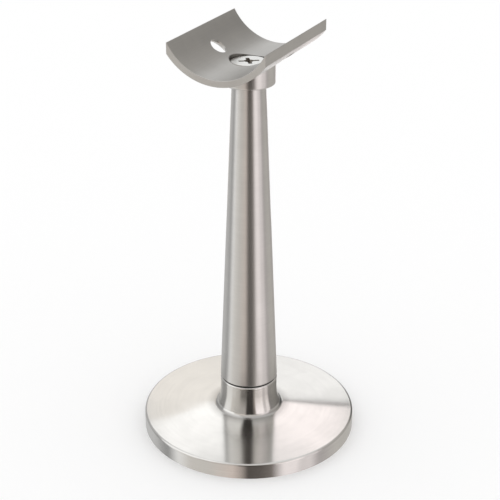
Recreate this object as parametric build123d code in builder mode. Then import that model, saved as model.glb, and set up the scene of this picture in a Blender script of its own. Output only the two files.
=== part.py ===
from build123d import *
import os
from math import cos, radians, sin, sqrt, tan

# Floor pedestal that carries a round rail in an open half-pipe saddle.
# Millimetres, +Z up. The origin is the centre of the base on the floor.
# The rail lies along Y, so the saddle's trough runs along Y too.

# ---------------------------------------------------------------- driving dimensions

# Rail and saddle plate
rail_radius = 25.4
rail_height = 206.8
saddle_wall = 2.8
saddle_length = 64.0
saddle_half_width = 22.6
saddle_edge_round = 0.15
wing_hole_radius = 4.0
wing_sink_radius = 6.0
wing_hole_angle = 35.2

# Round collar under the saddle
collar_radius = 11.7
collar_bottom = 171.5
collar_edge_round = 0.9

# Countersunk screw, M8 x 25, with a cross recess
screw_thread_radius = 4.0
screw_length = 25.0
screw_head_radius = 8.0
screw_head_land = 0.35
screw_head_round = 0.25
screw_head_top = 181.45
screw_head_gap = 0.5
screw_bore_radius = 4.3
recess_turn = 35.0
recess_span = 9.0
recess_slot = 1.7
recess_depth = 3.0
recess_taper = 8.0
recess_eye_radius = 2.1
recess_eye_floor = 1.2
recess_eye_depth = 3.6

# Friction washer between post and collar
swivel_washer_radius = 6.8
swivel_washer_recess_radius = 7.1
swivel_washer_thickness = 1.0
swivel_gap = 0.2

# Tapered post
post_bottom_radius = 13.6
post_top_radius = 7.6
post_wall = 1.8
post_bottom_round = 0.45
post_top_round = 0.3
top_plug_length = 16.0
bottom_plug_length = 12.0

# Washer in the seam between base neck and post
seam_washer_radius = 12.9
seam_washer_thickness = 0.8

# Trumpet base
base_radius = 50.8
rim_height = 7.6
rim_round = 1.0
rim_wall = 3.0
base_wall = 2.2
neck_radius = 13.6
neck_top = 25.0
neck_web = 3.0
neck_edge_round = 0.7
flare_top = 19.5
foot_radius = 15.3
foot_height = 9.8
foot_round = 2.2

# Hidden floor plate and its M10 stud, spring washer and thin nut
plate_radius = 40.0
plate_thickness = 4.0
plate_chamfer = 1.0
floor_hole_circle_radius = 29.0
floor_hole_count = 4
floor_hole_radius = 2.75
floor_sink_radius = 5.4
stud_radius = 5.0
stud_bottom = 0.5
stud_length = 36.0
stud_chamfer = 0.8
stud_clearance_radius = 5.5
lock_washer_radius = 9.0
lock_washer_bore = 5.1
lock_washer_thickness = 2.2
lock_washer_slit = 1.4
lock_washer_slit_lean = 25.0
nut_across_flats = 17.0
nut_thickness = 5.0
nut_chamfer = 1.0

# ---------------------------------------------------------------- worked-out dimensions

saddle_outer_radius = rail_radius + saddle_wall
post_bottom = neck_top + seam_washer_thickness
post_top = collar_bottom - swivel_gap
post_taper = (post_bottom_radius - post_top_radius) / (post_top - post_bottom)
nut_corner_radius = nut_across_flats / 2 / cos(radians(30))
screw_cone_top = screw_head_top - screw_head_land
above_everything = rail_height

os.makedirs("parts", exist_ok=True)


def post_bore_radius(height):
    """Inner radius of the tapered post tube at a height above the floor."""
    return post_bottom_radius - post_wall - post_taper * (height - post_bottom)


def rings(solid, radius, height):
    """Circular edges about the Z axis with this radius at this height."""
    circles = solid.edges().filter_by(GeomType.CIRCLE)
    return [
        edge
        for edge in circles
        if abs(edge.radius - radius) < 0.01 and abs(edge.arc_center.Z - height) < 0.01
    ]


def outline(*points):
    """Closed face in the XZ plane through (radius, height) points."""
    with BuildSketch(Plane.XZ) as section:
        with BuildLine():
            Polyline(*points, close=True)
        make_face()
    return section.sketch


def turn(*points, mode=Mode.ADD):
    """Revolve an outline about the Z axis into the part being built."""
    revolve(outline(*points), axis=Axis.Z, mode=mode)


def cut_screw_seat():
    """Bore, 90 degree countersink and straight mouth for the saddle screw."""
    sink_radius = screw_head_radius + screw_head_gap
    sink_bottom = screw_cone_top - (sink_radius - screw_bore_radius)
    turn(
        (0, 0),
        (screw_bore_radius, 0),
        (screw_bore_radius, sink_bottom),
        (sink_radius, screw_cone_top),
        (sink_radius, above_everything),
        (0, above_everything),
        mode=Mode.SUBTRACT,
    )


# ---------------------------------------------------------------- floor plate
# Steel disc that is screwed to the floor; the trumpet base hides it.

with BuildPart() as floor_plate:
    with BuildSketch():
        Circle(plate_radius)
    extrude(amount=plate_thickness)
    chamfer(rings(floor_plate, plate_radius, plate_thickness), plate_chamfer)
    with Locations((0, 0, plate_thickness)):
        Hole(stud_radius)
        with PolarLocations(floor_hole_circle_radius, floor_hole_count, start_angle=45):
            CounterSinkHole(floor_hole_radius, floor_sink_radius, counter_sink_angle=90)

floor_plate.part.label = "floor_plate"
export_step(floor_plate.part, "parts/floor_plate.step")

# ---------------------------------------------------------------- anchor stud
# M10 rod from the plate's tapped hole up into the post's bottom plug.

with BuildPart() as anchor_stud:
    with BuildSketch(Plane.XY.offset(stud_bottom)):
        Circle(stud_radius)
    extrude(amount=stud_length)
    chamfer(anchor_stud.edges().filter_by(GeomType.CIRCLE), stud_chamfer)

anchor_stud.part.label = "anchor_stud"
export_step(anchor_stud.part, "parts/anchor_stud.step")

# ---------------------------------------------------------------- spring washer
# Split ring under the thin nut, with a leaning slit.

with BuildPart() as stud_spring_washer:
    with BuildSketch(Plane.XY.offset(plate_thickness)):
        Circle(lock_washer_radius)
        Circle(lock_washer_bore, mode=Mode.SUBTRACT)
    extrude(amount=lock_washer_thickness)
    slit_middle = plate_thickness + lock_washer_thickness / 2
    with Locations(Location((lock_washer_radius, 0, slit_middle), (lock_washer_slit_lean, 0, 0))):
        Box(
            2 * (lock_washer_radius - stud_radius),
            lock_washer_slit,
            4 * lock_washer_thickness,
            mode=Mode.SUBTRACT,
        )

stud_spring_washer.part.label = "stud_spring_washer"
export_step(stud_spring_washer.part, "parts/stud_spring_washer.step")

# ---------------------------------------------------------------- thin nut
# Locks the stud in the plate. Both faces have chamfered corners.

nut_bottom = plate_thickness + lock_washer_thickness
nut_top = nut_bottom + nut_thickness
nut_drop = nut_chamfer * tan(radians(30))
nut_face_radius = nut_corner_radius - nut_chamfer

with BuildPart() as stud_nut:
    with BuildSketch(Plane.XY.offset(nut_bottom)):
        RegularPolygon(nut_corner_radius, 6)
        Circle(stud_radius, mode=Mode.SUBTRACT)
    extrude(amount=nut_thickness)
    turn(
        (0, nut_bottom),
        (nut_face_radius, nut_bottom),
        (nut_corner_radius, nut_bottom + nut_drop),
        (nut_corner_radius, nut_top - nut_drop),
        (nut_face_radius, nut_top),
        (0, nut_top),
        mode=Mode.INTERSECT,
    )

stud_nut.part.label = "stud_nut"
export_step(stud_nut.part, "parts/stud_nut.step")

# ---------------------------------------------------------------- trumpet base
# Hollow disc that rises gently to a short neck through a tight concave foot.

with BuildPart() as base_flange:
    with BuildSketch(Plane.XZ):
        with BuildLine():
            Polyline(
                (foot_radius, foot_height),
                (base_radius, rim_height),
                (base_radius, 0),
                (base_radius - rim_wall, 0),
                (base_radius - rim_wall, rim_height - base_wall),
                (foot_radius, foot_height - base_wall),
                (neck_radius - base_wall, foot_height + base_wall),
                (neck_radius - base_wall, neck_top - neck_web),
                (stud_clearance_radius, neck_top - neck_web),
                (stud_clearance_radius, neck_top),
                (neck_radius, neck_top),
                (neck_radius, flare_top),
            )
            TangentArc((neck_radius, flare_top), (foot_radius, foot_height), tangent=(0, -1))
        make_face()
    revolve(axis=Axis.Z)
    fillet(rings(base_flange, foot_radius, foot_height), foot_round)
    fillet(rings(base_flange, base_radius, rim_height), rim_round)
    fillet(rings(base_flange, neck_radius, neck_top), neck_edge_round)

base_flange.part.label = "base_flange"
export_step(base_flange.part, "parts/base_flange.step")

# ---------------------------------------------------------------- seam washer
# Thin dark ring, set back from both edges of the seam.

with BuildPart() as seam_washer:
    with BuildSketch(Plane.XY.offset(neck_top)):
        Circle(seam_washer_radius)
        Circle(stud_clearance_radius, mode=Mode.SUBTRACT)
    extrude(amount=seam_washer_thickness)

seam_washer.part.label = "seam_washer"
export_step(seam_washer.part, "parts/seam_washer.step")

# ---------------------------------------------------------------- post tube
# Straight-sided taper with an even wall.

with BuildPart() as post_tube:
    turn(
        (post_bore_radius(post_bottom), post_bottom),
        (post_bottom_radius, post_bottom),
        (post_top_radius, post_top),
        (post_bore_radius(post_top), post_top),
    )
    fillet(rings(post_tube, post_bottom_radius, post_bottom), post_bottom_round)
    fillet(rings(post_tube, post_top_radius, post_top), post_top_round)

post_tube.part.label = "post_tube"
export_step(post_tube.part, "parts/post_tube.step")

# ---------------------------------------------------------------- bottom plug
# Tapped M10; screws down on the stud and pulls the post onto the neck.

with BuildPart() as post_bottom_plug:
    bottom_plug_top = post_bottom + bottom_plug_length
    turn(
        (stud_radius, post_bottom),
        (post_bore_radius(post_bottom), post_bottom),
        (post_bore_radius(bottom_plug_top), bottom_plug_top),
        (stud_radius, bottom_plug_top),
    )

post_bottom_plug.part.label = "post_bottom_plug"
export_step(post_bottom_plug.part, "parts/post_bottom_plug.step")

# ---------------------------------------------------------------- top plug
# Tapped M8 for the saddle screw.

with BuildPart() as post_top_plug:
    top_plug_bottom = post_top - top_plug_length
    turn(
        (screw_thread_radius, top_plug_bottom),
        (post_bore_radius(top_plug_bottom), top_plug_bottom),
        (post_bore_radius(post_top), post_top),
        (screw_thread_radius, post_top),
    )

post_top_plug.part.label = "post_top_plug"
export_step(post_top_plug.part, "parts/post_top_plug.step")

# ---------------------------------------------------------------- swivel washer
# Lies on the post's top in a recess of the collar, so the saddle can be turned.

with BuildPart() as swivel_washer:
    with BuildSketch(Plane.XY.offset(post_top)):
        Circle(swivel_washer_radius)
        Circle(screw_bore_radius, mode=Mode.SUBTRACT)
    extrude(amount=swivel_washer_thickness)

swivel_washer.part.label = "swivel_washer"
export_step(swivel_washer.part, "parts/swivel_washer.step")

# ---------------------------------------------------------------- saddle collar
# Round spacer, hollowed on top to the saddle's outer curve.

with BuildPart() as saddle_collar:
    with BuildSketch(Plane.XY.offset(collar_bottom)):
        Circle(collar_radius)
    extrude(amount=rail_height - collar_bottom)
    with BuildSketch(Plane.XZ.offset(-saddle_length)):
        with Locations((0, rail_height)):
            Circle(saddle_outer_radius)
    extrude(amount=2 * saddle_length, mode=Mode.SUBTRACT)
    fillet(rings(saddle_collar, collar_radius, collar_bottom), collar_edge_round)
    with BuildSketch(Plane.XY.offset(collar_bottom)):
        Circle(swivel_washer_recess_radius)
    extrude(amount=swivel_washer_thickness - swivel_gap, mode=Mode.SUBTRACT)
    cut_screw_seat()

saddle_collar.part.label = "saddle_collar"
export_step(saddle_collar.part, "parts/saddle_collar.step")

# ---------------------------------------------------------------- saddle plate
# Segment of thick tube whose two long sides are trimmed upright.

with BuildPart() as saddle_plate:
    with BuildSketch(Plane.XZ):
        with Locations((0, rail_height)):
            Circle(saddle_outer_radius)
            Circle(rail_radius, mode=Mode.SUBTRACT)
            Rectangle(
                2 * saddle_half_width,
                saddle_outer_radius,
                align=(Align.CENTER, Align.MAX),
                mode=Mode.INTERSECT,
            )
    extrude(amount=saddle_length / 2, both=True)
    fillet(saddle_plate.edges(), saddle_edge_round)
    cut_screw_seat()
    for side in (-1, 1):
        outward = (side * sin(radians(wing_hole_angle)), 0, -cos(radians(wing_hole_angle)))
        on_wing = Vector(0, 0, rail_height) + Vector(outward) * saddle_outer_radius
        with Locations(Plane(on_wing, x_dir=(0, 1, 0), z_dir=outward)):
            CounterSinkHole(
                wing_hole_radius,
                wing_sink_radius,
                depth=2 * saddle_wall,
                counter_sink_angle=90,
            )

saddle_plate.part.label = "saddle_plate"
export_step(saddle_plate.part, "parts/saddle_plate.step")

# ---------------------------------------------------------------- saddle screw
# Countersunk head with a cross recess; its thread ends in the post's top plug.

screw_tip = screw_head_top - screw_length
screw_cone_bottom = screw_cone_top - (screw_head_radius - screw_thread_radius)

with BuildPart() as saddle_screw:
    turn(
        (0, screw_tip),
        (screw_thread_radius - stud_chamfer, screw_tip),
        (screw_thread_radius, screw_tip + stud_chamfer),
        (screw_thread_radius, screw_cone_bottom),
        (screw_head_radius, screw_cone_top),
        (screw_head_radius, screw_head_top),
        (0, screw_head_top),
    )
    fillet(rings(saddle_screw, screw_head_radius, screw_head_top), screw_head_round)
    with BuildSketch(Plane.XY.offset(screw_head_top)):
        Rectangle(recess_span, recess_slot, rotation=recess_turn)
        Rectangle(recess_slot, recess_span, rotation=recess_turn)
    extrude(amount=-recess_depth, taper=recess_taper, mode=Mode.SUBTRACT)
    turn(
        (0, screw_head_top),
        (recess_eye_radius, screw_head_top),
        (recess_eye_floor, screw_head_top - recess_eye_depth),
        (0, screw_head_top - recess_eye_depth - recess_eye_floor / 2),
        mode=Mode.SUBTRACT,
    )

saddle_screw.part.label = "saddle_screw"
export_step(saddle_screw.part, "parts/saddle_screw.step")
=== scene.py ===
import bpy
from math import cos, radians, sin
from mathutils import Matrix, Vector


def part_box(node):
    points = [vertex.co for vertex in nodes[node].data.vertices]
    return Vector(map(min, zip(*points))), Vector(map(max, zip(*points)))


# Floor pedestal with a half-pipe saddle, in metres, standing at the origin.

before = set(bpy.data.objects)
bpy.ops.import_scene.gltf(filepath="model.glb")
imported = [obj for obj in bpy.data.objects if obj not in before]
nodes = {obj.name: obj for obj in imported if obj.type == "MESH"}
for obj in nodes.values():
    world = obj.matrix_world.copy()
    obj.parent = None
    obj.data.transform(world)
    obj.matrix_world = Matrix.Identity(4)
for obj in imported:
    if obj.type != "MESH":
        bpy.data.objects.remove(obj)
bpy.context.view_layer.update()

# ---------------------------------------------------------------- camera

VIEW_AZIMUTH = radians(25.46)
VIEW_ELEVATION = radians(25.22)
VIEW_DISTANCE = 0.5559
LOOK_AT = Vector((0, 0, 0.09145))
SENSOR_WIDTH = 36.0
LENS = 86.64
LENS_SHIFT = 0.00235
NEAREST_VISIBLE = 0.01


def view_direction(azimuth, elevation):
    """Unit vector from the object towards an azimuth (0 is -Y) and elevation."""
    flat = cos(elevation)
    return Vector((sin(azimuth) * flat, -cos(azimuth) * flat, sin(elevation)))


def add_camera():
    data = bpy.data.cameras.new("camera")
    data.sensor_width = SENSOR_WIDTH
    data.lens = LENS
    data.shift_x = LENS_SHIFT
    data.clip_start = NEAREST_VISIBLE
    camera = bpy.data.objects.new("camera", data)
    bpy.context.scene.collection.objects.link(camera)
    back = view_direction(VIEW_AZIMUTH, VIEW_ELEVATION)
    camera.location = LOOK_AT + VIEW_DISTANCE * back
    camera.rotation_euler = back.to_track_quat("Z", "Y").to_euler()
    bpy.context.scene.camera = camera


# ---------------------------------------------------------------- node helpers


class Shader:
    """A node tree with short calls for the nodes that the materials use."""

    def __init__(self, tree):
        self.tree = tree
        self.tree.nodes.clear()

    def add(self, kind, settings=None, **inputs):
        node = self.tree.nodes.new(kind)
        for key, value in (settings or {}).items():
            setattr(node, key, value)
        for key, value in inputs.items():
            self.feed(node.inputs[key.replace("_", " ")], value)
        return node

    def feed(self, socket, value):
        if isinstance(value, bpy.types.NodeSocket):
            self.tree.links.new(value, socket)
        else:
            socket.default_value = value

    def math(self, operation, *values):
        node = self.tree.nodes.new("ShaderNodeMath")
        node.operation = operation
        for socket, value in zip(node.inputs, values):
            self.feed(socket, value)
        return node.outputs[0]

    def dot(self, vector, direction):
        node = self.tree.nodes.new("ShaderNodeVectorMath")
        node.operation = "DOT_PRODUCT"
        self.feed(node.inputs[0], vector)
        self.feed(node.inputs[1], direction)
        return node.outputs["Value"]

    def spread(self, value, low, high, to_low, to_high, smooth=False):
        """Map a value from the range low to high onto to_low to to_high."""
        node = self.tree.nodes.new("ShaderNodeMapRange")
        node.interpolation_type = "SMOOTHSTEP" if smooth else "LINEAR"
        limits = {"From Min": low, "From Max": high, "To Min": to_low, "To Max": to_high}
        for name, number in limits.items():
            node.inputs[name].default_value = number
        self.feed(node.inputs["Value"], value)
        return node.outputs["Result"]

    def ramp(self, factor, stops):
        """stops are (position, colour)."""
        node = self.tree.nodes.new("ShaderNodeValToRGB")
        elements = node.color_ramp.elements
        while len(elements) < len(stops):
            elements.new(0.5)
        for element, (position, colour) in zip(elements, stops):
            element.position = position
            element.color = (*colour, 1)
        self.feed(node.inputs["Fac"], factor)
        return node.outputs["Color"]

    def mix(self, factor, low, high):
        node = self.tree.nodes.new("ShaderNodeMix")
        node.data_type = "RGBA"
        self.feed(node.inputs["Factor"], factor)
        self.feed(node.inputs["A"], low)
        self.feed(node.inputs["B"], high)
        return node.outputs["Result"]


# ---------------------------------------------------------------- studio

# Only reflections see the studio. Its angles are degrees round the object from the
# front, positive to the right of the view, and its heights are degrees above the
# horizon.
DAYLIGHT = (1.00, 1.00, 1.00)
CREAM = (1.04, 1.00, 0.95)
AMBER = (1.14, 1.00, 0.92)
ROSE = (1.07, 1.00, 1.00)

# Walls and sweep: angle, brightness, tint.
WALLS = [
    (-180, 0.60, DAYLIGHT),
    (-125, 0.67, DAYLIGHT),
    (-100, 0.35, DAYLIGHT),
    (-84, 1.10, DAYLIGHT),
    (-68, 0.76, CREAM),
    (-45, 0.74, CREAM),
    (-18, 0.74, AMBER),
    (-8, 0.45, AMBER),
    (-1, 0.11, AMBER),
    (12, 0.13, AMBER),
    (25, 0.20, AMBER),
    (39, 1.08, ROSE),
    (53, 1.08, ROSE),
    (60, 0.84, ROSE),
    (72, 0.95, ROSE),
    (83, 0.50, ROSE),
    (110, 0.64, CREAM),
    (150, 0.55, CREAM),
    (180, 0.60, DAYLIGHT),
]

# Lights and flags, each laid over the ones before it: middle angle, half width,
# softness, lowest height, highest height, softness, brightness, tint.
PANELS = [
    (0, 181, 1, 50, 95, 12, 0.95, DAYLIGHT),  # pale ceiling
    (-80, 40, 10, 35, 75, 8, 1.35, DAYLIGHT),  # high light on the left
    (125, 46, 8, -10, 27, 6, 0.48, CREAM),  # right flag
    (150, 18, 8, -10, 27, 6, 0.15, DAYLIGHT),  # and its darker end
    (-128, 16, 6, -10, 27, 6, 0.54, DAYLIGHT),  # left flag
    (-34, 22, 8, -9, 2, 4, 0.50, CREAM),  # shade beside the camera
    (-78, 24, 5, 5, 32, 4, 1.40, DAYLIGHT),  # low light on the left
    (41, 15, 4, -10, 10, 4, 1.35, ROSE),  # low light on the right
    (2, 13, 5, -14, 18, 4, 0.03, AMBER),  # dark opening of the camera side
    (6, 42, 8, 19, 52, 4, 0.70, CREAM),  # pale wall above it
    (182, 15, 6, 12, 45, 6, 0.95, DAYLIGHT),  # sky behind
]

# What a ray sees after it has met the object twice, such as in the neck by way of the
# disc, or in the disc by way of the post. Its darker front would blacken the disc in
# the views from behind, where the disc shows the front directly.
INNER_WALLS = [
    (-180, 0.60, DAYLIGHT),
    (-143, 0.90, DAYLIGHT),
    (-126, 0.46, DAYLIGHT),
    (-103, 0.46, DAYLIGHT),
    (-95, 1.55, DAYLIGHT),
    (-73, 1.55, DAYLIGHT),
    (-65, 1.02, CREAM),
    (-46, 0.92, CREAM),
    (-30, 0.64, CREAM),
    (-11, 0.48, CREAM),
    (-5, 0.05, AMBER),
    (15, 0.05, AMBER),
    (21, 0.60, AMBER),
    (28, 1.70, ROSE),
    (53, 1.80, ROSE),
    (58, 1.02, ROSE),
    (65, 1.02, ROSE),
    (70, 1.60, ROSE),
    (79, 1.60, ROSE),
    (86, 0.34, ROSE),
    (103, 0.38, CREAM),
    (140, 0.30, CREAM),
    (180, 0.60, DAYLIGHT),
]
INNER_WALL_BAND = (-6, 25, 4)  # lowest height, highest height, softness
INNER_PANELS = [(-7, 27, 8, 24, 80, 5, 0.05, AMBER)]  # dark room above the camera

# The world counts a ray from the camera as 1, and adds 1 wherever it meets the object.
FIRST_INNER_COUNT = 3

# What everything but reflections sees of the world, and the matte floor, whose size is
# in metres.
PLAIN_LIGHT = (1.03, 1.03, 1.03, 1)
FLOOR_COLOUR = (0.97, 0.97, 0.97, 1)
FLOOR_SIZE = 6

# Glowing cards close behind the object: name, brightness, tint, and the corners as
# metres across and metres up.
CARD_DISTANCE = 0.15
CARDS = [
    ("left_low_card", 1.14, CREAM, (
        (-0.08, 0.04), (0, 0.04), (0, 0.100), (-0.040, 0.105), (-0.057, 0.121), (-0.08, 0.121),
    )),
    ("left_high_card", 1.55, DAYLIGHT, (
        (-0.08, 0.121), (-0.057, 0.121), (-0.040, 0.105), (0, 0.100), (0, 0.185), (-0.08, 0.185),
    )),
    ("right_low_card", 1.32, DAYLIGHT, ((0, 0.04), (0.08, 0.04), (0.08, 0.0995), (0, 0.0995))),
    ("right_bar_card", 0.22, DAYLIGHT, ((0, 0.0995), (0.08, 0.0995), (0.08, 0.1045), (0, 0.1035))),
    ("right_high_card", 1.44, ROSE, ((0, 0.1035), (0.08, 0.1045), (0.08, 0.185), (0, 0.185))),
]


def band(shader, value, middle, half, soft):
    """1 where the value is within half of the middle, with a soft edge on both sides."""
    gap = shader.math("ABSOLUTE", shader.math("SUBTRACT", value, middle))
    return shader.spread(gap, half - soft, half + soft, 1, 0, smooth=True)


def wall_colour(shader, turn, walls):
    """The colour of the walls, blended from one listed angle to the next."""
    stops = [
        ((angle + 180) / 360, [brightness * part for part in tint])
        for angle, brightness, tint in walls
    ]
    return shader.ramp(shader.spread(turn, -180, 180, 0, 1), stops)


def lay_panels(shader, colour, panels, turn, height):
    """The colour with each panel laid over it where the direction meets the panel."""
    for angle, half, soft, low, high, edge, brightness, tint in panels:
        offset = shader.math("SUBTRACT", turn, angle)
        offset = shader.math("WRAP", offset, 180, -180)
        across = band(shader, offset, 0, half, soft)
        up = band(shader, height, (low + high) / 2, (high - low) / 2, edge)
        panel = [brightness * part for part in tint]
        colour = shader.mix(shader.math("MULTIPLY", across, up), colour, (*panel, 1))
    return colour


def studio_colour(shader, direction, bounces):
    """What a reflection sees in a direction, after so many bounces."""
    front = view_direction(VIEW_AZIMUTH, 0)
    right = Vector((cos(VIEW_AZIMUTH), sin(VIEW_AZIMUTH), 0))
    turn = shader.math("ARCTAN2", shader.dot(direction, right), shader.dot(direction, front))
    turn = shader.math("DEGREES", turn)
    height = shader.math("DEGREES", shader.math("ARCSINE", shader.dot(direction, (0, 0, 1))))
    outer = lay_panels(shader, wall_colour(shader, turn, WALLS), PANELS, turn, height)
    low, high, edge = INNER_WALL_BAND
    beside = band(shader, height, (low + high) / 2, (high - low) / 2, edge)
    inner = shader.mix(beside, outer, wall_colour(shader, turn, INNER_WALLS))
    inner = lay_panels(shader, inner, INNER_PANELS, turn, height)
    return shader.mix(shader.math("GREATER_THAN", bounces, FIRST_INNER_COUNT - 0.5), outer, inner)


def add_world():
    world = bpy.data.worlds.new("studio")
    world.use_nodes = True
    # A world sampled as a lamp would add its plain light to the reflections.
    world.cycles.sampling_method = "NONE"
    bpy.context.scene.world = world
    shader = Shader(world.node_tree)
    direction = shader.add("ShaderNodeTexCoord").outputs["Generated"]
    rays = shader.add("ShaderNodeLightPath")
    studio = studio_colour(shader, direction, rays.outputs["Ray Depth"])
    seen = shader.mix(rays.outputs["Is Glossy Ray"], PLAIN_LIGHT, studio)
    background = shader.add("ShaderNodeBackground", Color=seen, Strength=1.0)
    shader.add("ShaderNodeOutputWorld", Surface=background.outputs[0])


def add_floor():
    bpy.ops.mesh.primitive_plane_add(size=FLOOR_SIZE)
    floor = bpy.context.object
    floor.name = "floor"
    material = bpy.data.materials.new("floor")
    material.use_nodes = True
    shader = Shader(material.node_tree)
    matte = shader.add("ShaderNodeBsdfDiffuse", Color=FLOOR_COLOUR)
    shader.add("ShaderNodeOutputMaterial", Surface=matte.outputs[0])
    floor.data.materials.append(material)
    floor.visible_glossy = False


def add_card(name, brightness, tint, corners):
    """Upright glowing card behind the object, which only reflections see."""
    mesh = bpy.data.meshes.new(name)
    away = -CARD_DISTANCE * view_direction(VIEW_AZIMUTH, 0)
    across = Vector((cos(VIEW_AZIMUTH), sin(VIEW_AZIMUTH), 0))
    points = [away + side * across + Vector((0, 0, height)) for side, height in corners]
    mesh.from_pydata(points, [], [range(len(points))])
    card = bpy.data.objects.new(name, mesh)
    bpy.context.scene.collection.objects.link(card)
    material = bpy.data.materials.new(name)
    material.use_nodes = True
    shader = Shader(material.node_tree)
    glow = shader.add("ShaderNodeEmission", Color=(*tint, 1), Strength=brightness)
    shader.add("ShaderNodeOutputMaterial", Surface=glow.outputs[0])
    mesh.materials.append(material)
    card.visible_camera = False
    card.visible_diffuse = False
    card.visible_shadow = False
    card.visible_transmission = False


# ---------------------------------------------------------------- materials
# Noise is laid out in the object's own metres. Grain counts are marks per metre.

STEEL = (0.66, 0.65, 0.63)
DULL_STEEL = (0.55, 0.54, 0.52)
# Painted shade: the colour that shaded corners and gaps of the steel are darkened towards.
PAINTED_SHADE_STEEL = (0.10, 0.09, 0.08)
BRIGHT_PLATE = (0.86, 0.86, 0.84)
# Painted shade in the screw's cross recess and round the edge of its head.
RECESS_SHADE = (0.34, 0.31, 0.28)
ZINC = (0.62, 0.63, 0.64)
BLACK_NYLON = (0.02, 0.02, 0.02)
WHITE_NYLON = (0.78, 0.76, 0.70)

# Rings or lines per metre, and how much they change: in a turn, or in a metre along Y.
TURNED_GRAIN = (2500, 1.5)
SCREW_GRAIN = (3000, 4)
BRUSHED_GRAIN = (2500, 60)

# The painted shade round the foot of the neck, in metres: where it starts and ends, the top
# of the disc, and the height over which the painted shade fades out above it.
FOOT_RADIUS = 0.0153
PAINTED_SHADE_RADIUS = 0.0215
DISC_TOP = 0.0102
PAINTED_SHADE_FADE = 0.0005
PAINTED_SHADE_STRENGTH = 0.42

# The painted shade in the mouth round the screw, in metres: how far past the screw's head the
# painted shade reaches, and the width over which it fades.
MOUTH_REACH = 0.0007
MOUTH_FADE = 0.0002
MOUTH_SHADE = 0.6

# The screw's head, in metres: the width of the painted shade at its edge, and the depths below
# its top where the painted shade in the recess starts and where it is darkest.
HEAD_EDGE = 0.0004
RECESS_START = 0.00008
RECESS_DEEP = 0.0002


def noise(shader, vector, detail=3.0, w=None):
    """Fractal noise of about one mark per unit of the vector."""
    settings = {"noise_dimensions": "3D" if w is None else "4D"}
    inputs = {} if w is None else {"W": w}
    node = shader.add(
        "ShaderNodeTexNoise",
        settings,
        Vector=vector,
        Scale=1.0,
        Detail=detail,
        Roughness=0.6,
        **inputs,
    )
    return node.outputs[0]


def own_axes(shader):
    """The three coordinates of the object, in metres."""
    place = shader.add("ShaderNodeTexCoord").outputs["Object"]
    return shader.add("ShaderNodeSeparateXYZ", Vector=place).outputs


def axis_distance(shader, x, y):
    return shader.math("SQRT", shader.math("MULTIPLY_ADD", x, x, shader.math("MULTIPLY", y, y)))


def ring_grain(shader, rings, drift):
    """Rings round the vertical axis, as a lathe leaves them, that drift as they go round."""
    x, y, z = own_axes(shader)
    radius = axis_distance(shader, x, y)
    ring = shader.add(
        "ShaderNodeCombineXYZ",
        X=shader.math("MULTIPLY", radius, rings),
        Y=shader.math("MULTIPLY", z, rings),
        Z=shader.math("MULTIPLY", shader.math("DIVIDE", x, radius), drift),
    )
    turn = shader.math("MULTIPLY", shader.math("DIVIDE", y, radius), drift)
    return noise(shader, ring.outputs[0], w=turn)


def line_grain(shader, lines, drift):
    """Long lines along Y, as a belt leaves them."""
    x, y, z = own_axes(shader)
    line = shader.add(
        "ShaderNodeCombineXYZ",
        X=shader.math("MULTIPLY", x, lines),
        Y=shader.math("MULTIPLY", y, drift),
        Z=shader.math("MULTIPLY", z, lines),
    )
    return noise(shader, line.outputs[0])


def clouds(shader, marks):
    """Soft blotches, the same in every direction."""
    place = shader.add("ShaderNodeTexCoord").outputs["Object"]
    scaled = shader.add("ShaderNodeVectorMath", {"operation": "SCALE"}, Vector=place, Scale=marks)
    return noise(shader, scaled.outputs[0], detail=2.0)


def shades(shader, factor, colour, contrast):
    """The colour made darker and lighter by the factor."""
    dark = [part * (1 - contrast) for part in colour]
    light = [part * (1 + contrast) for part in colour]
    return shader.mix(shader.spread(factor, 0.3, 0.7, 0, 1), (*dark, 1), (*light, 1))


def finish(material_name, build):
    """A material whose node tree is made by build(shader), which returns its last shader."""
    material = bpy.data.materials.new(material_name)
    material.use_nodes = True
    shader = Shader(material.node_tree)
    shader.add("ShaderNodeOutputMaterial", Surface=build(shader).outputs[0])
    return material


def worked_steel(name, colour, roughness, grain, depth, anisotropy, rotation, axis, shade=None):
    """Turned or brushed steel: its grain gives the colour, the gloss and the relief.

    If given, shade(shader) is how far the colour goes towards painted shade, from 0 to 1.
    """

    def build(shader):
        marks = grain(shader)
        patches = clouds(shader, 90)
        tangent = shader.add("ShaderNodeTangent", {"direction_type": "RADIAL", "axis": axis})
        bump = shader.add("ShaderNodeBump", Strength=1.0, Distance=depth, Height=marks)
        wear = shader.math("MULTIPLY_ADD", patches, 0.5, shader.math("MULTIPLY", marks, 0.5))
        face = shades(shader, wear, colour, 0.05)
        # Painted shade: the colour darkened where shade falls.
        if shade:
            face = shader.mix(shade(shader), face, (*PAINTED_SHADE_STEEL, 1))
        return shader.add(
            "ShaderNodeBsdfPrincipled",
            Base_Color=face,
            Metallic=1.0,
            Roughness=shader.spread(wear, 0.35, 0.65, roughness * 1.06, roughness * 0.94),
            Anisotropic=anisotropy,
            Anisotropic_Rotation=rotation,
            Tangent=tangent.outputs[0],
            Normal=bump.outputs[0],
        )

    return finish(name, build)


def turned_steel(name, roughness, anisotropy, depth, shade=None):
    """Steel turned on a lathe round its vertical axis."""

    def grain(shader):
        return ring_grain(shader, *TURNED_GRAIN)

    return worked_steel(
        name, STEEL, roughness, grain, depth, anisotropy, rotation=0.25, axis="Z", shade=shade
    )


def foot_shade(shader):
    """Painted shade on the disc in the corner round the foot of the neck."""
    x, y, z = own_axes(shader)
    radius = axis_distance(shader, x, y)
    # Painted shade: darker near the neck, fading out across the disc.
    near = shader.spread(radius, FOOT_RADIUS, PAINTED_SHADE_RADIUS, PAINTED_SHADE_STRENGTH, 0, smooth=True)
    return shader.math("MULTIPLY", near, shader.spread(z, DISC_TOP, DISC_TOP + PAINTED_SHADE_FADE, 1, 0))


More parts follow.
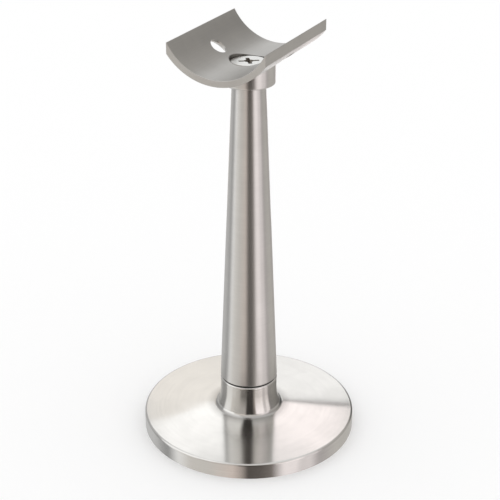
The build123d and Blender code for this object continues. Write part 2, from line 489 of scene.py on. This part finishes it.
def brushed_steel(name, roughness, anisotropy, depth, mouth):
    """Steel brushed along Y, with painted shade within the mouth's radius."""

    def grain(shader):
        return line_grain(shader, *BRUSHED_GRAIN)

    # Painted shade in the gap round the screw's head.
    def shade(shader):
        x, y, _ = own_axes(shader)
        radius = axis_distance(shader, x, y)
        return shader.spread(radius, mouth, mouth + MOUTH_FADE, MOUTH_SHADE, 0)

    return worked_steel(
        name, DULL_STEEL, roughness, grain, depth, anisotropy, rotation=0.0, axis="Y", shade=shade
    )


def screw_plating(name, head_top, head_radius):
    """Bright plating, with painted shade in the cross recess and round the edge of the head."""

    def build(shader):
        marks = ring_grain(shader, *SCREW_GRAIN)
        x, y, z = own_axes(shader)
        radius = axis_distance(shader, x, y)
        # Painted shade: darker round the edge of the head and down in the cross recess.
        edge = shader.spread(radius, head_radius - HEAD_EDGE, head_radius, 0, 1)
        low = shader.spread(z, head_top - RECESS_DEEP, head_top - RECESS_START, 1, 0)
        recess = shader.math("MAXIMUM", low, edge)
        face = shades(shader, marks, BRIGHT_PLATE, 0.04)
        bump = shader.add("ShaderNodeBump", Strength=1.0, Distance=0.000003, Height=marks)
        return shader.add(
            "ShaderNodeBsdfPrincipled",
            Base_Color=shader.mix(recess, face, (*RECESS_SHADE, 1)),
            Metallic=1.0,
            Roughness=shader.spread(recess, 0, 1, 0.2, 0.45),
            Normal=bump.outputs[0],
        )

    return finish(name, build)


def plain_steel(name, colour):
    """Zinc plated or sawn steel of the hidden parts, with a mottled surface."""

    def build(shader):
        patches = clouds(shader, 400)
        bump = shader.add("ShaderNodeBump", Strength=1.0, Distance=0.00001, Height=patches)
        return shader.add(
            "ShaderNodeBsdfPrincipled",
            Base_Color=shades(shader, patches, colour, 0.12),
            Metallic=1.0,
            Roughness=shader.spread(patches, 0.3, 0.7, 0.5, 0.32),
            Normal=bump.outputs[0],
        )

    return finish(name, build)


def nylon(name, colour):
    """Moulded washer with a fine dull skin."""

    def build(shader):
        skin = clouds(shader, 3000)
        bump = shader.add("ShaderNodeBump", Strength=1.0, Distance=0.00001, Height=skin)
        return shader.add(
            "ShaderNodeBsdfPrincipled",
            Base_Color=shades(shader, skin, colour, 0.15),
            Roughness=shader.spread(skin, 0.3, 0.7, 0.5, 0.65),
            Normal=bump.outputs[0],
        )

    return finish(name, build)


def dress(material, *names):
    """Give every material slot of these CAD nodes this material."""
    for name in names:
        mesh = nodes[name].data
        if not mesh.materials:
            mesh.materials.append(material)
        for index in range(len(mesh.materials)):
            mesh.materials[index] = material


# ---------------------------------------------------------------- scene

add_camera()
add_world()
add_floor()
for card in CARDS:
    add_card(*card)

head_radius, _, head_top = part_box("saddle_screw")[1]
base_steel = turned_steel(
    "base_steel", roughness=0.14, anisotropy=1.0, depth=0.000004, shade=foot_shade
)
post_steel = turned_steel("post_steel", roughness=0.33, anisotropy=0.88, depth=0.000004)
saddle_steel = brushed_steel(
    "saddle_steel", roughness=0.35, anisotropy=0.5, depth=0.000002, mouth=head_radius + MOUTH_REACH
)
dress(base_steel, "base_flange")
dress(post_steel, "post_tube", "saddle_collar")
dress(saddle_steel, "saddle_plate")
dress(screw_plating("screw_plating", head_top, head_radius), "saddle_screw")
dress(plain_steel("zinc_steel", ZINC), "floor_plate", "anchor_stud", "stud_nut", "stud_spring_washer")
dress(plain_steel("plug_steel", DULL_STEEL), "post_bottom_plug", "post_top_plug")
dress(nylon("black_nylon", BLACK_NYLON), "seam_washer")
dress(nylon("white_nylon", WHITE_NYLON), "swivel_washer")
bpy.context.scene.view_settings.view_transform = "Standard"
